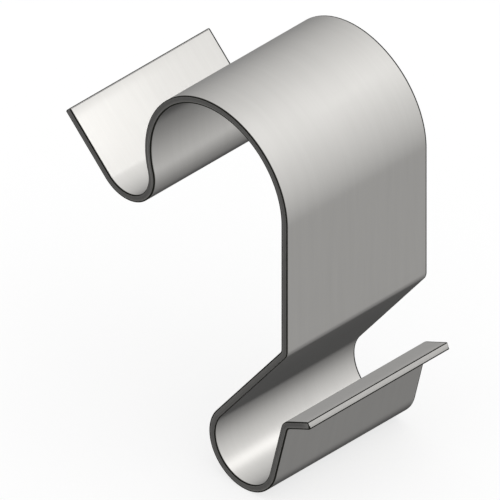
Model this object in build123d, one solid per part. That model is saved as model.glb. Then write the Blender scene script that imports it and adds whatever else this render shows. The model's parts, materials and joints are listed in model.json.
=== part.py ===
from build123d import *
import os

# Cover clip for a wire cable tray, bent in one piece from spring-steel strip.
# The profile lies in the XZ plane and the strip is wide along Y.
# The origin is the axis of the wire seat, half way across the strip.
# Millimetres and degrees, +Z up as the clip hangs on the tray.

# Strip stock
STRIP_WIDTH = 15.0
THICKNESS = 0.6
EDGE_BREAK = 0.06

# Inside radii of the bends
HOOK_RADIUS = 2.5
DOME_RADIUS = 7.0
SEAT_RADIUS = 3.0
CREASE_RADIUS = 0.6

# Straight runs between the bends
LEG_LENGTH = 5.9
STRUT_LENGTH = 11.5
DIAGONAL_LENGTH = 11.1
RETURN_LENGTH = 5.0
LIP_LENGTH = 2.4

# Slopes are above the horizontal, leans are off the vertical
LEG_SLOPE = 44.0
CROSSOVER_LEAN = 16.0
DIAGONAL_SLOPE = 52.0
RETURN_LEAN = 14.0
LIP_SLOPE = 25.0

# Turns of the bends, which bring each run to its slope
HOOK_TURN = LEG_SLOPE + 90 + CROSSOVER_LEAN
DOME_TURN = CROSSOVER_LEAN + 180
STRUT_CREASE_TURN = 90 - DIAGONAL_SLOPE
SEAT_TURN = (180 - DIAGONAL_SLOPE) + (90 - RETURN_LEAN)
LIP_CREASE_TURN = 90 - RETURN_LEAN - LIP_SLOPE


def run(before, length):
    """A straight run that carries on from the bend before it."""
    return PolarLine(before @ 1, length, direction=before % 1)


def bend(before, radius, turn):
    """A bend that carries on from the line before it, to the left where the turn is positive."""
    return JernArc(before @ 1, before % 1, radius, turn)


def strip_profile():
    """The strip seen on its cut edge, with the axis of the wire seat at the origin."""
    # One face of the strip, from the tip of the free leg to the end of the lip.
    # It is the inner face of the hook and of the seat, and the outer face of the other bends.
    leg = PolarLine((0, 0), LEG_LENGTH, -LEG_SLOPE)
    hook = bend(leg, HOOK_RADIUS, HOOK_TURN)
    dome = bend(hook, DOME_RADIUS + THICKNESS, -DOME_TURN)
    strut = run(dome, STRUT_LENGTH)
    strut_crease = bend(strut, CREASE_RADIUS + THICKNESS, -STRUT_CREASE_TURN)
    diagonal = run(strut_crease, DIAGONAL_LENGTH)
    seat = bend(diagonal, SEAT_RADIUS, SEAT_TURN)
    return_wall = run(seat, RETURN_LENGTH)
    lip_crease = bend(return_wall, CREASE_RADIUS + THICKNESS, -LIP_CREASE_TURN)
    lip = run(lip_crease, LIP_LENGTH)
    face_line = Wire([
        leg, hook, dome, strut, strut_crease, diagonal, seat, return_wall, lip_crease, lip
    ])

    # The other face lies one thickness away on the right
    outline = face_line.offset_2d(THICKNESS, side=Side.RIGHT)
    return Pos(-seat.center_point) * Face(outline)


def cover_clip():
    """The strip at its full width, with its sheared edges broken."""
    clip = extrude(Plane.XZ * strip_profile(), STRIP_WIDTH / 2, both=True)
    return chamfer(clip.edges(), EDGE_BREAK)


os.makedirs("parts", exist_ok=True)
export_step(cover_clip(), "parts/cover_clip.step")
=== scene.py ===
import json
import math

import bmesh
import bpy
from bpy.props import FloatProperty, FloatVectorProperty, PointerProperty
from mathutils import Matrix, Vector


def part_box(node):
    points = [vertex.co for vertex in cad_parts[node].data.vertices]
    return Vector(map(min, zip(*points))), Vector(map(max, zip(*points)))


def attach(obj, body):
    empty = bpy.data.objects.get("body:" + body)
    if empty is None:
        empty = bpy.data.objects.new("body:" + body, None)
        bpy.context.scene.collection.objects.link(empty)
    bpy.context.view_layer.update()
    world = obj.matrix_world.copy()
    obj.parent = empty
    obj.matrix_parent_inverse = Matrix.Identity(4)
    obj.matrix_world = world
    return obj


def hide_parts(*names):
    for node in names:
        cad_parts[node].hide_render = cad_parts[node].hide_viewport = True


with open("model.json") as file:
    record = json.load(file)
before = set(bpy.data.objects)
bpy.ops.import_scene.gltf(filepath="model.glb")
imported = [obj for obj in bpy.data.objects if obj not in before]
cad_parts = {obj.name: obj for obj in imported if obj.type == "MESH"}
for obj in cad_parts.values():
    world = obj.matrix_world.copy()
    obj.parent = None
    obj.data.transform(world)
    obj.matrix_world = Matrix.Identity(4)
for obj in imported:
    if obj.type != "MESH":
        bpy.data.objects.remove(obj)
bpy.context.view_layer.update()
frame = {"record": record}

bl_info = {
    "name": "Cable tray cover clip",
    "version": (1, 0, 0),
    "blender": (4, 5, 0),
    "location": "3D View > Sidebar > Cover Clip",
    "description": "Makes a one-piece spring steel clip that holds the cover on a wire cable tray",
    "category": "Add Mesh",
}

# Metres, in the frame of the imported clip: the axis of the wire seat is the origin,
# the profile lies in the XZ plane, and the strip is wide along Y.
MM = 0.001
FRONT = Vector((0, -1, 0))

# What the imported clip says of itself
clip_low, clip_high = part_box("cover_clip")
wire_seat = next(m for m in frame["record"]["mounts"] if m["name"] == "wire_seat")
steel = next(m for m in frame["record"]["materials"] if m["slot"] == "spring_steel")
STRIP_WIDTH = clip_high.y - clip_low.y
SEAT_RADIUS = wire_seat["dims"]["r_mm"] * MM
# The outside of the seat is the lowest place of the clip
THICKNESS = -clip_low.z - SEAT_RADIUS

# How finely the mesh follows the strip
RUN_PIECE = 1.0 * MM
BEND_STEP = math.radians(2.0)
LEAST_BEND_STEPS = 12
CORNER_STEPS = 4
WIDTH_CUTS = 3
# Two places closer than this are the same
SKIN = 0.001 * MM

# The names of the mesh's own values, which the finishes read
FLAT = "flat_place"
STRAIN = "bend_strain"


def length(name, description, millimetres):
    """A length that the user can change. It is given in millimetres and kept in metres."""
    return FloatProperty(
        name=name, description=description, default=millimetres * MM, min=0.0,
        precision=5, subtype="DISTANCE", unit="LENGTH",
    )


def angle(name, description, degrees):
    """An angle that the user can change. It is given in degrees and kept in radians."""
    return FloatProperty(
        name=name, description=description, default=math.radians(degrees),
        subtype="ANGLE", unit="ROTATION",
    )


def share(name, description, value):
    """A plain number from 0 to 1 that the user can change."""
    return FloatProperty(
        name=name, description=description, default=value, min=0.0, max=1.0, subtype="FACTOR",
    )


def colour(name, description, value):
    """A colour that the user can change."""
    return FloatVectorProperty(
        name=name, description=description, default=value, min=0.0, max=1.0,
        size=3, subtype="COLOR",
    )


class StripSizes(bpy.types.PropertyGroup):
    """The stock, the bends and the straight runs of the clip, as on its drawing."""

    width: length("Strip width", "Width of the steel strip", STRIP_WIDTH / MM)
    thickness: length("Thickness", "Thickness of the steel strip", THICKNESS / MM)
    hook_radius: length("Hook radius", "Inside radius of the hook", 2.5)
    dome_radius: length("Dome radius", "Inside radius of the dome", 7.0)
    seat_radius: length("Seat radius", "Inside radius of the wire seat", SEAT_RADIUS / MM)
    crease_radius: length("Crease radius", "Inside radius of the two sharp bends", 0.6)
    leg_length: length("Leg length", "Straight part of the free leg", 5.9)
    strut_length: length("Strut length", "Straight part of the upright run", 11.5)
    diagonal_length: length("Diagonal length", "Straight part of the slanted run", 11.1)
    return_length: length("Return length", "Straight part of the wall behind the wire", 5.0)
    lip_length: length("Lip length", "Straight part of the thumb lip", 2.4)
    leg_slope: angle("Leg slope", "Fall of the free leg below the horizontal", 44)
    crossover_lean: angle("Crossover lean", "Lean of the strip between hook and dome", 16)
    diagonal_slope: angle("Diagonal slope", "Slope of the slanted run above the horizontal", 52)
    return_lean: angle("Return lean", "Lean of the wall behind the wire off the vertical", 14)
    lip_slope: angle("Lip slope", "Rise of the thumb lip above the horizontal", 25)


class ShearSizes(bpy.types.PropertyGroup):
    """What the shear and the tumbling barrel leave along the strip's edges."""

    roll_radius: length("Roll", "Radius that the shear rolls on its entry side", 0.04)
    break_radius: length("Break", "Radius that tumbling leaves on the burr side", 0.035)
    end_radius: length("End rounding", "Radius that tumbling leaves round the two cut ends", 0.105)
    burnish_depth: length("Burnished depth", "Depth of the bright band below the roll", 0.25)
    fracture_step: length("Fracture step", "How far the torn band stands back", 0.012)
    margin: length("Margin", "Narrow flat beside a rounded corner", 0.03)


class SteelFinish(bpy.types.PropertyGroup):
    """Colours and surface of the steel."""

    rolled_colour: colour("Rolled faces", "Colour of the cold-rolled faces", steel["base_color"])
    bright_colour: colour("Burnished edge", "Colour of the bright band of the cut", (0.58, 0.57, 0.55))
    torn_colour: colour("Torn edge", "Colour of the torn band of the cut", (0.53, 0.521, 0.503))
    # The corner line is painted shade: the strip's corners are painted near black, in place of the dark
    # shade along its edges
    painted_corner_shade: colour("Corner line", "Colour of the line along each corner", (0.014, 0.014, 0.012))
    rolled_roughness: share("Rolled roughness", "Roughness of the cold-rolled faces", 0.30)
    cut_roughness: share("Cut roughness", "Roughness of the sheared edges", 0.26)
    cut_line: length("Line on the cut", "Reach of the corner line over the cut from the roll", 0.07)
    burr_line: length("Line on the tear", "Reach of the corner line over the cut from the burr", 0.12)
    face_line: length("Line on the faces", "Reach of the corner line over a broad face", 0.12)
    grain_pitch: length("Grain pitch", "Width of one streak of the rolling grain", 0.07)
    grain_length: length("Grain length", "Length of one streak of the rolling grain", 4.0)
    film_size: length("Film patches", "Size of the patches of the oil film", 5.0)


class StudioSettings(bpy.types.PropertyGroup):
    """The floor, the light and the camera."""

    floor_colour: colour("Floor", "Colour of the floor", (0.3, 0.3, 0.3))
    floor_glow: FloatProperty(
        name="Floor glow", description="Brightness that the floor has of itself, as a light table",
        default=0.69, min=0.0,
    )
    floor_size: length("Floor size", "Side of the square floor", 4000)
    leg_glow: FloatProperty(
        name="Leg lamp", description="Brightness in the beam of the lamp on the free leg",
        default=8.4, min=0.0,
    )
    seat_glow: FloatProperty(
        name="Seat lamp", description="Brightness in the beam of the lamp on the wire seat",
        default=2.3, min=0.0,
    )
    view_width: length("View width", "Width of the picture at the clip", 37.86)


class CoverClipSettings(bpy.types.PropertyGroup):
    """All that a user would change on the clip and its studio."""

    strip: PointerProperty(type=StripSizes)
    shear: PointerProperty(type=ShearSizes)
    finish: PointerProperty(type=SteelFinish)
    studio: PointerProperty(type=StudioSettings)


# The strip's cross-section


def only(kind, geometry):
    """The vertices, or the edges, of what a mesh operator returned."""
    return [g for g in geometry if isinstance(g, kind)]


def line_to(bm, corner, across, rise):
    """Draws the outline on from its last corner by a straight line."""
    corner = bmesh.ops.extrude_vert_indiv(bm, verts=[corner])["verts"][0]
    bmesh.ops.translate(bm, verts=[corner], vec=(0, across, rise))
    return corner


def quarter_turn(bm, corner, centre):
    """Rounds the outline's corner by a quarter turn about a centre."""
    drawn = bmesh.ops.spin(
        bm, geom=[corner], cent=centre, axis=(1, 0, 0), angle=-math.pi / 2, steps=CORNER_STEPS
    )
    return only(bmesh.types.BMVert, drawn["geom_last"])[0]


def draw_section(bm, strip, shear):
    """Draws the closed outline of the strip's section, lying flat with one broad face up at Z 0."""
    half = strip.width / 2
    burnish_foot = shear.roll_radius + shear.burnish_depth
    torn_top = burnish_foot + shear.fracture_step
    torn_depth = strip.thickness - shear.break_radius - torn_top

    # One half, from the middle of the upper face over the cut edge to the middle of the lower
    corner = bmesh.ops.create_vert(bm, co=(0, 0, 0))["vert"][0]
    corner = line_to(bm, corner, half - shear.roll_radius - shear.margin, 0)
    corner = line_to(bm, corner, shear.margin, 0)
    corner = quarter_turn(bm, corner, corner.co + Vector((0, 0, -shear.roll_radius)))
    corner = line_to(bm, corner, 0, -shear.margin)
    corner = line_to(bm, corner, 0, shear.margin - shear.burnish_depth)
    corner = line_to(bm, corner, -shear.fracture_step, -shear.fracture_step)
    corner = line_to(bm, corner, 0, shear.margin - torn_depth)
    corner = line_to(bm, corner, 0, -shear.margin)
    corner = quarter_turn(bm, corner, corner.co + Vector((0, -shear.break_radius, 0)))
    corner = line_to(bm, corner, -shear.margin, 0)
    line_to(bm, corner, -corner.co.y, 0)

    bmesh.ops.mirror(bm, geom=bm.verts[:] + bm.edges[:], axis="Y", merge_dist=SKIN)
    broad = [e for e in bm.edges if e.calc_length() > half / 2]
    bmesh.ops.subdivide_edges(bm, edges=broad, cuts=WIDTH_CUTS)

    # Each vertex keeps its place in the flat strip: along, across and depth
    flat = bm.verts.layers.float_vector.new(FLAT)
    bm.verts.layers.float.new(STRAIN)
    for v in bm.verts:
        v[flat] = (0, v.co.y, -v.co.z)
    return bm.edges[:]


# The bends


class StripEnd:
    """The leading end of the strip as it is fed through the bends."""

    def __init__(self, bm, outline, heading, strip):
        self.bm = bm
        self.outline = outline
        self.heading = heading
        self.thickness = strip.thickness
        self.place = Vector()
        self.flat = bm.verts.layers.float_vector[FLAT]
        self.strain = bm.verts.layers.float[STRAIN]

    def direction(self):
        return Vector((math.cos(self.heading), 0, math.sin(self.heading)))

    def left(self):
        return Vector((-math.sin(self.heading), 0, math.cos(self.heading)))

    def middle(self):
        """The middle of the section at the leading end."""
        return self.place - self.left() * self.thickness / 2

    def lead(self, geometry, fed, strain):
        """Takes the new end of the mesh as the leading end, and notes how far it has been fed."""
        ahead = only(bmesh.types.BMVert, geometry)
        for v in ahead:
            v[self.flat].x += fed
            v[self.strain] = strain
        new = set(ahead)
        edges = only(bmesh.types.BMEdge, geometry)
        self.outline = [e for e in edges if e.verts[0] in new and e.verts[1] in new]
        return ahead

    def run(self, distance):
        """Feeds a straight run."""
        pieces = math.ceil(distance / RUN_PIECE)
        step = self.direction() * distance / pieces
        for _ in range(pieces):
            made = bmesh.ops.extrude_edge_only(self.bm, edges=self.outline)["geom"]
            ahead = self.lead(made, distance / pieces, 0.0)
            bmesh.ops.translate(self.bm, verts=ahead, vec=step)
        self.place += step * pieces

    def bend(self, radius, turn):
        """Feeds a bend of that inside radius and returns its centre. A positive turn is to the left."""
        to_centre = radius if turn > 0 else -radius - self.thickness
        centre = self.place + self.left() * to_centre
        steps = max(LEAST_BEND_STEPS, math.ceil(abs(turn) / BEND_STEP))
        neutral_radius = radius + self.thickness / 2
        strain = math.copysign(self.thickness / 2 / neutral_radius, turn)
        for _ in range(steps):
            ring = {v for e in self.outline for v in e.verts}
            made = bmesh.ops.spin(
                self.bm, geom=list(ring) + self.outline, cent=centre, axis=FRONT,
                angle=turn / steps, steps=1,
            )["geom_last"]
            self.lead(made, neutral_radius * abs(turn) / steps, strain)
        turned = Matrix.Rotation(turn, 3, FRONT)
        self.place = centre + turned @ (self.place - centre)
        self.heading += turn
        return centre


def close_end(end, out, strip, shear):
    """Rounds off one cut end of the strip and closes it. It faces ahead where out is 1, behind at -1."""
    bm = end.bm
    radius = shear.end_radius
    turns = [i * math.pi / 2 / CORNER_STEPS for i in range(CORNER_STEPS + 1)]
    rounds = [
        (radius * (math.sin(b) - math.sin(a)), radius * (math.cos(a) - math.cos(b)))
        for a, b in zip(turns, turns[1:])
    ]
    half_width = strip.width / 2
    half_thickness = strip.thickness / 2
    for push, inset in rounds + [(0.0, shear.margin)]:
        across = 1 - inset / half_width
        through = 1 - inset / half_thickness
        half_width -= inset
        half_thickness -= inset
        made = bmesh.ops.extrude_edge_only(bm, edges=end.outline)["geom"]
        ahead = end.lead(made, out * push, 0.0)
        shrink = Matrix.Scale(across, 4, FRONT) @ Matrix.Scale(through, 4, end.left())
        middle = Matrix.Translation(end.middle())
        bmesh.ops.transform(bm, matrix=middle @ shrink @ middle.inverted(), verts=ahead)
        bmesh.ops.translate(bm, verts=ahead, vec=end.direction() * out * push)
        for v in ahead:
            v[end.flat].y *= across
            v[end.flat].z = strip.thickness / 2 + (v[end.flat].z - strip.thickness / 2) * through
    bmesh.ops.edgeloop_fill(bm, edges=end.outline)


def bend_strip(bm, strip, shear):
    """Feeds the section through every run and bend of the clip. Returns the strip's flat length."""
    section = draw_section(bm, strip, shear)
    bmesh.ops.rotate(
        bm, verts=bm.verts[:], cent=(0, 0, 0), matrix=Matrix.Rotation(-strip.leg_slope, 3, FRONT)
    )
    tip = StripEnd(bm, section, -strip.leg_slope, strip)
    end = StripEnd(bm, section, -strip.leg_slope, strip)

    quarter = math.pi / 2
    hook_turn = strip.leg_slope + quarter + strip.crossover_lean
    dome_turn = strip.crossover_lean + math.pi
    strut_crease_turn = quarter - strip.diagonal_slope
    seat_turn = math.pi - strip.diagonal_slope + quarter - strip.return_lean
    lip_crease_turn = quarter - strip.return_lean - strip.lip_slope

    end.run(strip.leg_length - shear.end_radius)
    end.bend(strip.hook_radius, hook_turn)
    end.bend(strip.dome_radius, -dome_turn)
    end.run(strip.strut_length)
    end.bend(strip.crease_radius, -strut_crease_turn)
    end.run(strip.diagonal_length)
    seat_axis = end.bend(strip.seat_radius, seat_turn)
    end.run(strip.return_length)
    end.bend(strip.crease_radius, -lip_crease_turn)
    end.run(strip.lip_length - shear.end_radius)

    close_end(tip, -1, strip, shear)
    close_end(end, 1, strip, shear)
    bmesh.ops.translate(bm, verts=bm.verts[:], vec=-seat_axis)
    bmesh.ops.recalc_face_normals(bm, faces=bm.faces[:])
    flat_places = [v[end.flat].x for v in bm.verts]
    start = min(flat_places)
    for v in bm.verts:
        v[end.flat].x -= start
    return max(flat_places) - start


def sort_faces(bm, strip, shear):
    """Gives the broad faces the first material and the cut the second, and keeps the tear's step crisp."""
    flat = bm.verts.layers.float_vector[FLAT]
    burnish_foot = shear.roll_radius + shear.burnish_depth
    for edge in bm.edges:
        depths = [v[flat].z for v in edge.verts]
        along = abs(depths[0] - depths[1]) < SKIN
        on_step = burnish_foot - SKIN < depths[0] < burnish_foot + shear.fracture_step + SKIN
        edge.smooth = not (along and on_step)
    for face in bm.faces:
        depths = [v[flat].z for v in face.verts]
        broad = max(depths) < SKIN or min(depths) > strip.thickness - SKIN
        face.material_index = 0 if broad else 1
        face.smooth = True


def put_in_order(bm):
    """Numbers the mesh along the strip. The operators leave it in an order that each run changes."""
    flat = bm.verts.layers.float_vector[FLAT]
    keys = (
        (bm.verts, lambda v: tuple(v[flat])),
        (bm.edges, lambda e: sorted(v.index for v in e.verts)),
        (bm.faces, lambda f: sorted(v.index for v in f.verts)),
    )
    for elements, key in keys:
        ranks = {element: rank for rank, element in enumerate(sorted(elements, key=key))}
        elements.sort(key=ranks.get)
        elements.index_update()


# Nodes

# One step of the node editor, to the right and down
NODE_STEP = (200, -180)


def feed(tree, socket, value):
    """Sets an input to a value, or links it to the output that is given in the value's place."""
    if isinstance(value, bpy.types.NodeSocket):
        tree.links.new(value, socket)
    else:
        socket.default_value = value


def node(tree, kind, at, inputs=None, **settings):
    """A new node at a place of the editor, with its inputs fed and its settings made."""
    made = tree.nodes.new(kind)
    made.location = (at[0] * NODE_STEP[0], at[1] * NODE_STEP[1])
    for name, value in settings.items():
        setattr(made, name, value)
    for name, value in (inputs or {}).items():
        feed(tree, made.inputs[name], value)
    return made


def maths(tree, operation, at, *values):
    """The result of one Math node."""
    inputs = dict(enumerate(values))
    return node(tree, "ShaderNodeMath", at, inputs, operation=operation).outputs[0]


def mix_colour(tree, at, factor, first, second):
    """The result of one Mix node on colours."""
    made = node(tree, "ShaderNodeMix", at, data_type="RGBA")
    sockets = {s.identifier: s for s in made.inputs}
    for key, value in (("Factor_Float", factor), ("A_Color", first), ("B_Color", second)):
        feed(tree, sockets[key], value)
    return next(s for s in made.outputs if s.identifier == "Result_Color")


def opaque(rgb):
    """A colour with its alpha."""
    return (*rgb, 1.0)


def new_group(name, inputs, outputs):
    """An empty shader node group with its two ends. Sockets are given as name and kind."""
    group = bpy.data.node_groups.new(name, "ShaderNodeTree")
    for socket, kind in inputs:
        group.interface.new_socket(socket, in_out="INPUT", socket_type=kind)
    for socket, kind in outputs:
        group.interface.new_socket(socket, in_out="OUTPUT", socket_type=kind)
    ins = node(group, "NodeGroupInput", (0, 0))
    outs = node(group, "NodeGroupOutput", (9, 0))
    return group, ins.outputs, outs.inputs


NUMBER = "NodeSocketFloat"
VECTOR = "NodeSocketVector"

# The corner line, which is painted shade, fades out between these shares of its reach
LINE_FADE = (0.85, 1.25)
# Each kind of streak, how many times the finest pitch it has, and its detail
STREAK_KINDS = (("Fine", 1.0, 3.0), ("Broad", 9.0, 2.0))


def corner_line_group():
    """The mask of the painted corner shade: 1 along each corner of the strip and 0 away from it, by its
    place in the flat strip.
    """
    group, ins, outs = new_group(
        "PaintedCornerShade",
        [
            ("Place", VECTOR), ("Length", NUMBER), ("Width", NUMBER), ("Thickness", NUMBER),
            ("Reach", NUMBER),
        ],
        [("Line", NUMBER)],
    )
    place = node(group, "ShaderNodeSeparateXYZ", (1, 0), {0: ins["Place"]}).outputs
    depths = []
    for row, (axis, size) in enumerate((("X", "Length"), ("Y", "Width"), ("Z", "Thickness"))):
        half = maths(group, "MULTIPLY", (1, row + 1), ins[size], 0.5)
        from_middle = place[axis]
        if axis != "Y":
            from_middle = maths(group, "SUBTRACT", (2, row), place[axis], half)
        off = maths(group, "ABSOLUTE", (3, row), from_middle)
        depths.append(maths(group, "SUBTRACT", (4, row), half, off))
    along, across, through = depths

    # A point lies on the nearest of the strip's bounds, and the next nearest is how far its corner is
    nearer = maths(group, "MINIMUM", (5, 0), along, across)
    farther = maths(group, "MAXIMUM", (5, 1), along, across)
    farther = maths(group, "MINIMUM", (6, 1), farther, through)
    to_corner = maths(group, "MAXIMUM", (7, 0), nearer, farther)
    fade_start = maths(group, "MULTIPLY", (6, 3), ins["Reach"], LINE_FADE[0])
    fade_end = maths(group, "MULTIPLY", (6, 2), ins["Reach"], LINE_FADE[1])
    line = node(
        group, "ShaderNodeMapRange", (8, 0),
        {
            "Value": to_corner, "From Min": fade_start, "From Max": fade_end,
            "To Min": 1.0, "To Max": 0.0,
        },
        interpolation_type="SMOOTHSTEP",
    )
    group.links.new(line.outputs["Result"], outs["Line"])
    return group


def streaks_group():
    """Puts out fine and broad streaks, drawn out along the strip's grain."""
    group, ins, outs = new_group(
        "Streaks",
        [("Place", VECTOR), ("Pitch", NUMBER), ("Length", NUMBER)],
        [("Fine", NUMBER), ("Broad", NUMBER)],
    )
    for row, (name, coarser, detail) in enumerate(STREAK_KINDS):
        pitch = maths(group, "MULTIPLY", (1, row * 2), ins["Pitch"], coarser)
        stretch = maths(group, "MULTIPLY", (1, row * 2 + 1), ins["Length"], math.sqrt(coarser))
        cell = node(
            group, "ShaderNodeCombineXYZ", (2, row * 2), {"X": stretch, "Y": pitch, "Z": pitch}
        )
        scaled = node(
            group, "ShaderNodeVectorMath", (3, row * 2),
            {0: ins["Place"], 1: cell.outputs[0]}, operation="DIVIDE",
        )
        noise = node(
            group, "ShaderNodeTexNoise", (4, row * 2),
            {"Vector": scaled.outputs[0], "Scale": 1.0, "Detail": detail, "Roughness": 0.6},
        )
        group.links.new(noise.outputs["Fac"], outs[name])
    return group


def patches_group():
    """Puts out soft patches, as an oil film or handling leaves them."""
    group, ins, outs = new_group(
        "Patches", [("Place", VECTOR), ("Size", NUMBER)], [("Patches", NUMBER)]
    )
    one_over = maths(group, "DIVIDE", (1, 1), 1.0, ins["Size"])
    noise = node(
        group, "ShaderNodeTexNoise", (3, 0),
        {"Vector": ins["Place"], "Scale": one_over, "Detail": 3.0, "Roughness": 0.55},
    )
    spread = node(
        group, "ShaderNodeMapRange", (4, 0),
        {"Value": noise.outputs["Fac"], "From Min": 0.3, "From Max": 0.7},
        interpolation_type="SMOOTHSTEP",
    )
    group.links.new(spread.outputs["Result"], outs["Patches"])
    return group


# Finishes

# The streaks shade the rolled faces between these shares of their colour
SHADE = (0.93, 1.07)
# How much each thing roughens the rolled faces
FILM_ROUGHENS = 0.05
STREAKS_ROUGHEN = 0.06
STRETCH_ROUGHENS = 0.1
LINE_ROUGHENS = 0.15
# Most of what the film and the streaks add on average, taken off again
USUAL_ROUGHENING = 0.04
# The highlight is drawn out across the strip, because the grain runs along it
GRAIN_ANISOTROPY = 0.45
GRAIN_HEIGHT = 0.002 * MM

# How deep the start of the tear wanders, over what length, and how softly it starts
TEAR_DEPTH = 0.08 * MM
TEAR_LENGTH = 0.5 * MM
TEAR_FADE = (-0.04 * MM, 0.02 * MM)
# The scores down the cut
SCORE_PITCH = 0.03 * MM
SCORE_LENGTH = 0.5 * MM
SCORE_HEIGHT = 0.003 * MM
SCORE_COLOUR = (0.2, 0.2, 0.2)
SCORES_SHADE = 0.2
# How much the tear and the scores roughen the cut
TEAR_ROUGHENS = 0.08
SCORES_ROUGHEN = 0.05


def new_material(name):
    """An empty material with its surface shader."""
    material = bpy.data.materials.new(name)
    material.use_nodes = True
    tree = material.node_tree
    tree.nodes.clear()
    shader = node(tree, "ShaderNodeBsdfPrincipled", (10, 0))
    out = node(tree, "ShaderNodeOutputMaterial", (12, 0), {"Surface": shader.outputs["BSDF"]})
    out.is_active_output = True
    return material, tree, shader.inputs


def attribute(tree, name, at):
    """One of the mesh's own values."""
    return node(tree, "ShaderNodeAttribute", at, attribute_type="GEOMETRY", attribute_name=name)


def corner_line(tree, group, place, at, strip, reach, flat_length):
    """The mask of the painted corner shade on a material of the strip."""
    return node(
        tree, "ShaderNodeGroup", at,
        {
            "Place": place, "Length": flat_length, "Width": strip.width,
            "Thickness": strip.thickness, "Reach": reach,
        },
        node_tree=group,
    ).outputs["Line"]


def rolled_steel(groups, strip, finish, flat_length):
    """The broad faces: cold-rolled, with a fine grain along the strip and a thin uneven oil film."""
    material, tree, shader = new_material("rolled_steel")
    place = attribute(tree, FLAT, (0, 0)).outputs["Vector"]
    strain = attribute(tree, STRAIN, (0, 4)).outputs["Fac"]
    line = corner_line(tree, groups["corner"], place, (2, 3), strip, finish.face_line, flat_length)
    streaks = node(
        tree, "ShaderNodeGroup", (2, 0),
        {"Place": place, "Pitch": finish.grain_pitch, "Length": finish.grain_length},
        node_tree=groups["streaks"],
    ).outputs
    film = node(
        tree, "ShaderNodeGroup", (2, 1.5), {"Place": place, "Size": finish.film_size},
        node_tree=groups["patches"],
    ).outputs["Patches"]

    # The streaks only just shade the steel, the fine and the broad ones alike
    fine = maths(tree, "MULTIPLY", (4, 0), streaks["Fine"], 0.5)
    shade = maths(tree, "MULTIPLY_ADD", (5, 0), streaks["Broad"], 0.5, fine)
    dull, bright = (opaque(min(1.0, c * s) for c in finish.rolled_colour) for s in SHADE)
    base = mix_colour(tree, (6, 0), shade, dull, bright)
    # Painted shade: the corner line darkens each corner of the broad faces to near black
    lined = mix_colour(tree, (7, 0), line, base, opaque(finish.painted_corner_shade))
    tree.links.new(lined, shader["Base Color"])

    # Rougher where the film is thick and where a sharp bend has stretched the skin
    stretched = maths(tree, "ABSOLUTE", (3, 4), strain)
    least = finish.rolled_roughness - USUAL_ROUGHENING
    rough = maths(tree, "MULTIPLY_ADD", (5, 1.5), film, FILM_ROUGHENS, least)
    rough = maths(tree, "MULTIPLY_ADD", (6, 1.5), streaks["Fine"], STREAKS_ROUGHEN, rough)
    rough = maths(tree, "MULTIPLY_ADD", (7, 1.5), stretched, STRETCH_ROUGHENS, rough)
    rough = maths(tree, "MULTIPLY_ADD", (8, 1.5), line, LINE_ROUGHENS, rough)
    tree.links.new(rough, shader["Roughness"])

    bump = node(
        tree, "ShaderNodeBump", (8, 3),
        {"Height": streaks["Fine"], "Strength": 0.25, "Distance": GRAIN_HEIGHT},
    )
    tree.links.new(bump.outputs["Normal"], shader["Normal"])
    across = node(tree, "ShaderNodeCombineXYZ", (8, 4), {"Y": 1.0})
    tree.links.new(across.outputs[0], shader["Tangent"])
    # Where the corner shade is painted the steel is no metal, and with no specular it reflects nothing
    # there
    tree.links.new(maths(tree, "SUBTRACT", (8, 2.5), 1.0, line), shader["Metallic"])
    shader["Specular IOR Level"].default_value = 0.0
    shader["Anisotropic"].default_value = GRAIN_ANISOTROPY
    return material


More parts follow.
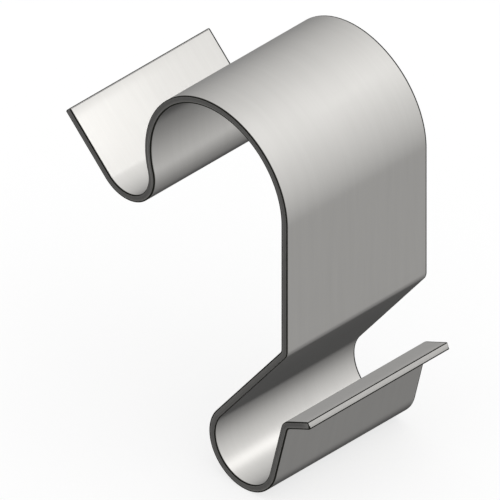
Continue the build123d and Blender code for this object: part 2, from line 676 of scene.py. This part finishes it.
def sheared_steel(groups, strip, shear, finish, flat_length):
    """The cut edges and ends: a burnished band below the roll and a torn band below that."""
    material, tree, shader = new_material("sheared_steel")
    place = attribute(tree, FLAT, (0, 0)).outputs["Vector"]
    depth = node(tree, "ShaderNodeSeparateXYZ", (1, 1), {0: place}).outputs["Z"]

    # The tear starts at a depth that wanders along the edge
    wander = node(
        tree, "ShaderNodeGroup", (2, 1.5), {"Place": place, "Size": TEAR_LENGTH},
        node_tree=groups["patches"],
    ).outputs["Patches"]
    burnish_foot = shear.roll_radius + shear.burnish_depth
    start = maths(tree, "MULTIPLY_ADD", (3, 1.5), wander, TEAR_DEPTH, burnish_foot)
    below = maths(tree, "SUBTRACT", (4, 1), depth, start)
    torn = node(
        tree, "ShaderNodeMapRange", (5, 1),
        {"Value": below, "From Min": TEAR_FADE[0], "From Max": TEAR_FADE[1]},
        interpolation_type="SMOOTHSTEP",
    ).outputs["Result"]
    wider = finish.burr_line - finish.cut_line
    reach = maths(tree, "MULTIPLY_ADD", (6, 3), torn, wider, finish.cut_line)
    line = corner_line(tree, groups["corner"], place, (7, 3), strip, reach, flat_length)

    # The streaks, turned to run down the cut, are its scores
    down = node(
        tree, "ShaderNodeVectorRotate", (1, 0),
        {"Vector": place, "Axis": (0, 1, 0), "Angle": math.pi / 2},
    ).outputs[0]
    scores = node(
        tree, "ShaderNodeGroup", (2, 0),
        {"Place": down, "Pitch": SCORE_PITCH, "Length": SCORE_LENGTH},
        node_tree=groups["streaks"],
    ).outputs["Fine"]
    base = mix_colour(tree, (6, 0), torn, opaque(finish.bright_colour), opaque(finish.torn_colour))
    scoring = maths(tree, "MULTIPLY", (6, 0.7), scores, SCORES_SHADE)
    scored = mix_colour(tree, (7, 0), scoring, base, opaque(SCORE_COLOUR))
    # Painted shade: the corner line darkens each corner of the cut to near black, wider on the torn side
    lined = mix_colour(tree, (8, 0), line, scored, opaque(finish.painted_corner_shade))
    tree.links.new(lined, shader["Base Color"])

    rough = maths(tree, "MULTIPLY_ADD", (7, 1.5), torn, TEAR_ROUGHENS, finish.cut_roughness)
    rough = maths(tree, "MULTIPLY_ADD", (8, 1.5), scores, SCORES_ROUGHEN, rough)
    tree.links.new(rough, shader["Roughness"])
    bump = node(
        tree, "ShaderNodeBump", (8, 3),
        {"Height": scores, "Strength": 0.3, "Distance": SCORE_HEIGHT},
    )
    tree.links.new(bump.outputs["Normal"], shader["Normal"])
    # Where the corner shade is painted the cut is no metal, and with no specular it reflects nothing there
    tree.links.new(maths(tree, "SUBTRACT", (8, 2.5), 1.0, line), shader["Metallic"])
    shader["Specular IOR Level"].default_value = 0.0
    return material


# The floor's colour sinks to this share of itself, in patches of about 25 mm
FLOOR_SHADE = 0.995
FLOOR_PATCHES = 40.0


def floor_paint(studio):
    """A plain pale matt floor with the faintest unevenness."""
    material, tree, shader = new_material("studio_floor")
    place = node(tree, "ShaderNodeTexCoord", (0, 0)).outputs["Object"]
    noise = node(
        tree, "ShaderNodeTexNoise", (2, 0),
        {"Vector": place, "Scale": FLOOR_PATCHES, "Detail": 2.0},
    )
    dim = opaque(c * FLOOR_SHADE for c in studio.floor_colour)
    base = mix_colour(tree, (4, 0), noise.outputs["Fac"], dim, opaque(studio.floor_colour))
    tree.links.new(base, shader["Base Color"])
    shader["Roughness"].default_value = 0.9
    shader["Specular IOR Level"].default_value = 0.0
    shader["Emission Color"].default_value = opaque([1.0] * 3)
    shader["Emission Strength"].default_value = studio.floor_glow
    return material


# The studio

# The picture is 500 pixels wide, and the seat's axis stands at this pixel of it
PICTURE_SIDE = 500
SEAT_PIXEL = Vector((312.18, 408.44))
VIEW_BACK = Vector((1, -1, 1)).normalized()
CAMERA_DISTANCE = 300 * MM

# Where the sky is brightest, and how bright it is at each cosine off that direction.
# It is dark on the far side, rises evenly over the middle and is brightest in that direction.
LIGHT_FROM = Vector((0.38, 0.06, 0.92)).normalized()
LIGHT_STEPS = (
    (-0.8, 0.05), (-0.7, 0.25), (-0.5, 0.35), (0.0, 0.66), (0.7, 1.06), (1.0, 1.45),
)
# Where the camera looks past the floor it sees this tone, which is near the floor's own
FLOOR_TONE = 0.99

# Two round lamps stand close to the clip, one above it and one behind it.
# Each has its place, the point that it is aimed at, its size and the angle of its beam.
LEG_LAMP = (Vector((8, 8, 47)) * MM, Vector((-20, 2, 25)) * MM, 10 * MM, math.radians(52))
SEAT_LAMP = (Vector((7, 36, 26)) * MM, Vector((-6, -11, -8)) * MM, 32 * MM, math.radians(41))


def studio_light():
    """A soft light all round that fades from one side of the sky to the other, seen as plain pale."""
    world = bpy.data.worlds.new("soft_studio")
    world.use_nodes = True
    tree = world.node_tree
    tree.nodes.clear()
    ray = node(tree, "ShaderNodeTexCoord", (0, 0)).outputs["Generated"]
    facing = node(
        tree, "ShaderNodeVectorMath", (1, 0), {0: ray, 1: LIGHT_FROM}, operation="DOT_PRODUCT"
    ).outputs["Value"]
    position = maths(tree, "MULTIPLY_ADD", (2, 0), facing, 0.5, 0.5)
    ramp = node(tree, "ShaderNodeValToRGB", (3, 0), {"Fac": position})
    brightest = LIGHT_STEPS[-1][1]
    elements = ramp.color_ramp.elements
    for i, (where, tone) in enumerate(LIGHT_STEPS):
        # A new ramp already has a few stops, and they are used first
        stop = elements[i] if i < len(elements) else elements.new(1.0)
        stop.position = (where + 1) / 2
        stop.color = opaque([tone / brightest] * 3)
    seen = node(
        tree, "ShaderNodeBackground", (5, 1), {"Color": opaque([1.0] * 3), "Strength": FLOOR_TONE}
    )
    lit = node(
        tree, "ShaderNodeBackground", (5, 0), {"Color": ramp.outputs["Color"], "Strength": brightest}
    )
    camera_ray = node(tree, "ShaderNodeLightPath", (5, -2)).outputs["Is Camera Ray"]
    both = node(
        tree, "ShaderNodeMixShader", (7, 0),
        {0: camera_ray, 1: lit.outputs[0], 2: seen.outputs[0]},
    )
    node(tree, "ShaderNodeOutputWorld", (8, 0), {"Surface": both.outputs[0]})
    bpy.context.scene.world = world


def round_lamp(name, glow, place, aim, size, beam, lit):
    """A round lamp with a narrow beam. It lights what is in one collection alone."""
    light = bpy.data.lights.new(name, "AREA")
    light.shape = "DISK"
    light.size = size
    light.spread = beam
    # The power that gives this glow in the beam's middle. A narrow beam gathers it, so it needs less.
    gathered = math.tan(beam / 2) / (math.tan(beam / 2) - beam / 2)
    disc_area = math.pi * size ** 2 / 4
    light.energy = glow / gathered * math.pi * disc_area
    light.use_shadow = False
    lamp = bpy.data.objects.new(name, light)
    lamp.location = place
    lamp.rotation_euler = (place - aim).to_track_quat("Z", "Y").to_euler()
    lamp.visible_camera = False
    lamp.light_linking.receiver_collection = lit
    bpy.context.scene.collection.objects.link(lamp)


def camera(studio):
    """The camera of the picture, which looks from the right, the front and above at equal angles."""
    right = Vector((1, 1, 0)).normalized()
    up = VIEW_BACK.cross(right)
    pixel = studio.view_width / PICTURE_SIDE
    middle = (PICTURE_SIDE - 1) / 2
    aim = right * (middle - SEAT_PIXEL.x) * pixel + up * (SEAT_PIXEL.y - middle) * pixel
    data = bpy.data.cameras.new("picture_camera")
    data.type = "ORTHO"
    data.ortho_scale = studio.view_width
    data.clip_start = 1 * MM
    data.clip_end = studio.floor_size
    made = bpy.data.objects.new("picture_camera", data)
    made.location = aim + VIEW_BACK * CAMERA_DISTANCE
    made.rotation_euler = VIEW_BACK.to_track_quat("Z", "Y").to_euler()
    bpy.context.scene.collection.objects.link(made)
    bpy.context.scene.camera = made


def link_mesh(name, bm):
    """An object in the scene that holds a finished mesh, at the origin."""
    mesh = bpy.data.meshes.new(name)
    bm.to_mesh(mesh)
    bm.free()
    piece = bpy.data.objects.new(name, mesh)
    bpy.context.scene.collection.objects.link(piece)
    return piece


class COVERCLIP_OT_strip(bpy.types.Operator):
    """Make the bent strip of the clip with its cut edges and its finish"""

    bl_idname = "cover_clip.strip"
    bl_label = "Bend Strip"
    bl_options = {"REGISTER", "UNDO"}

    def execute(self, context):
        settings = context.scene.cover_clip
        strip, shear, finish = settings.strip, settings.shear, settings.finish
        bm = bmesh.new()
        flat_length = bend_strip(bm, strip, shear)
        sort_faces(bm, strip, shear)
        put_in_order(bm)
        piece = link_mesh("clip_strip", bm)
        # Each face mirrors the studio alone, as the picture shows it, and no other part of the clip
        piece.visible_glossy = False
        groups = {
            "corner": corner_line_group(), "streaks": streaks_group(), "patches": patches_group(),
        }
        piece.data.materials.append(rolled_steel(groups, strip, finish, flat_length))
        piece.data.materials.append(sheared_steel(groups, strip, shear, finish, flat_length))
        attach(piece, "root")
        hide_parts("cover_clip")
        return {"FINISHED"}


class COVERCLIP_OT_studio(bpy.types.Operator):
    """Make the pale floor, the soft light and the camera"""

    bl_idname = "cover_clip.studio"
    bl_label = "Set Studio"
    bl_options = {"REGISTER", "UNDO"}

    def execute(self, context):
        studio = context.scene.cover_clip.studio
        bm = bmesh.new()
        bmesh.ops.create_grid(bm, x_segments=1, y_segments=1, size=studio.floor_size / 2)
        bmesh.ops.translate(bm, verts=bm.verts[:], vec=(0, 0, clip_low.z))
        floor = link_mesh("studio_floor", bm)
        floor.data.materials.append(floor_paint(studio))
        # Steel would mirror the floor's glare on its undersides
        floor.visible_glossy = False
        floor.visible_shadow = False
        studio_light()
        clip = bpy.data.collections.new("clip")
        clip.objects.link(bpy.data.objects["clip_strip"])
        round_lamp("leg_lamp", studio.leg_glow, *LEG_LAMP, clip)
        round_lamp("seat_lamp", studio.seat_glow, *SEAT_LAMP, clip)
        camera(studio)
        context.scene.view_settings.view_transform = "Standard"
        return {"FINISHED"}


class COVERCLIP_PT_sidebar(bpy.types.Panel):
    """The clip's sizes, its finish and its buttons"""

    bl_idname = "COVERCLIP_PT_sidebar"
    bl_label = "Cable Tray Cover Clip"
    bl_space_type = "VIEW_3D"
    bl_region_type = "UI"
    bl_category = "Cover Clip"

    def draw(self, context):
        settings = context.scene.cover_clip
        for title, group in (
            ("Strip", settings.strip), ("Edges", settings.shear),
            ("Steel", settings.finish), ("Studio", settings.studio),
        ):
            box = self.layout.box()
            box.label(text=title)
            for name in group.__annotations__:
                box.prop(group, name)
        self.layout.operator(COVERCLIP_OT_strip.bl_idname)
        self.layout.operator(COVERCLIP_OT_studio.bl_idname)


CLASSES = (
    StripSizes, ShearSizes, SteelFinish, StudioSettings, CoverClipSettings,
    COVERCLIP_OT_strip, COVERCLIP_OT_studio, COVERCLIP_PT_sidebar,
)


def register():
    for cls in CLASSES:
        bpy.utils.register_class(cls)
    bpy.types.Scene.cover_clip = PointerProperty(type=CoverClipSettings)


def unregister():
    del bpy.types.Scene.cover_clip
    for cls in reversed(CLASSES):
        bpy.utils.unregister_class(cls)


def main():
    register()
    bpy.ops.cover_clip.strip()
    bpy.ops.cover_clip.studio()


if __name__ == "__main__":
    main()
